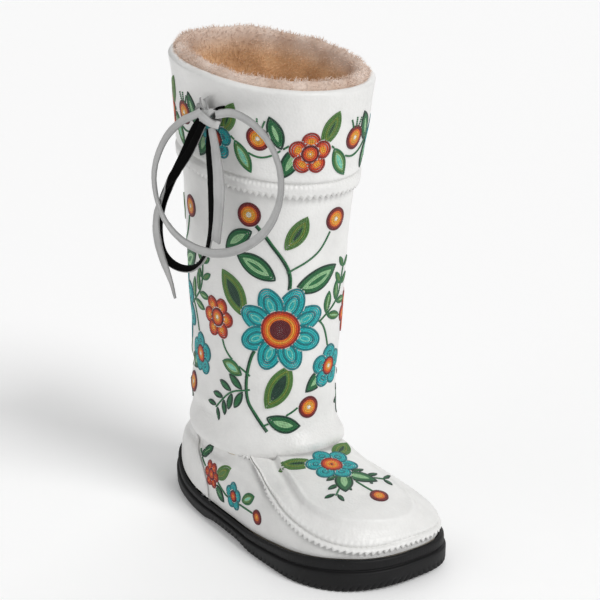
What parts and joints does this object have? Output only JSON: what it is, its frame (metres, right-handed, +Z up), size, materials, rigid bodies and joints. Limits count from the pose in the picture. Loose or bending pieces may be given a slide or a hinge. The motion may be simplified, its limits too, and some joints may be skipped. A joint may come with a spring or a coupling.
{
  "type": "mukluk boot",
  "caption": "Tall white leather mukluk boot with floral beadwork, shearling collar, suede bow and black lugged rubber sole; right foot, standing.",
  "frame": {"origin": "on the floor under the middle of the heel, on the sole's tread", "axes": "+Z up the shaft, +X towards the toe, -Y the outer (lateral) side of the foot, where the bow is"},
  "size_m": [0.28, 0.1533, 0.3818],
  "materials": {
    "black_rubber": "satin moulded",
    "white_leather": "smooth, softly shining",
    "tan_felt": "matte",
    "tan_shearling": "matte curled pile",
    "grey_suede": "matte suede, black reverse"
  },
  "bodies": {
    "root": {"outsole": "black_rubber", "upper": "white_leather", "insole": "tan_felt", "apron": "white_leather", "counter": "white_leather", "cuff": "white_leather", "fleece": "tan_shearling", "lace_knot": "grey_suede", "lace_loop_front": "grey_suede", "lace_loop_back": "grey_suede", "lace_tail_front": "grey_suede", "lace_tail_back": "grey_suede"}
  },
  "joints": []
}
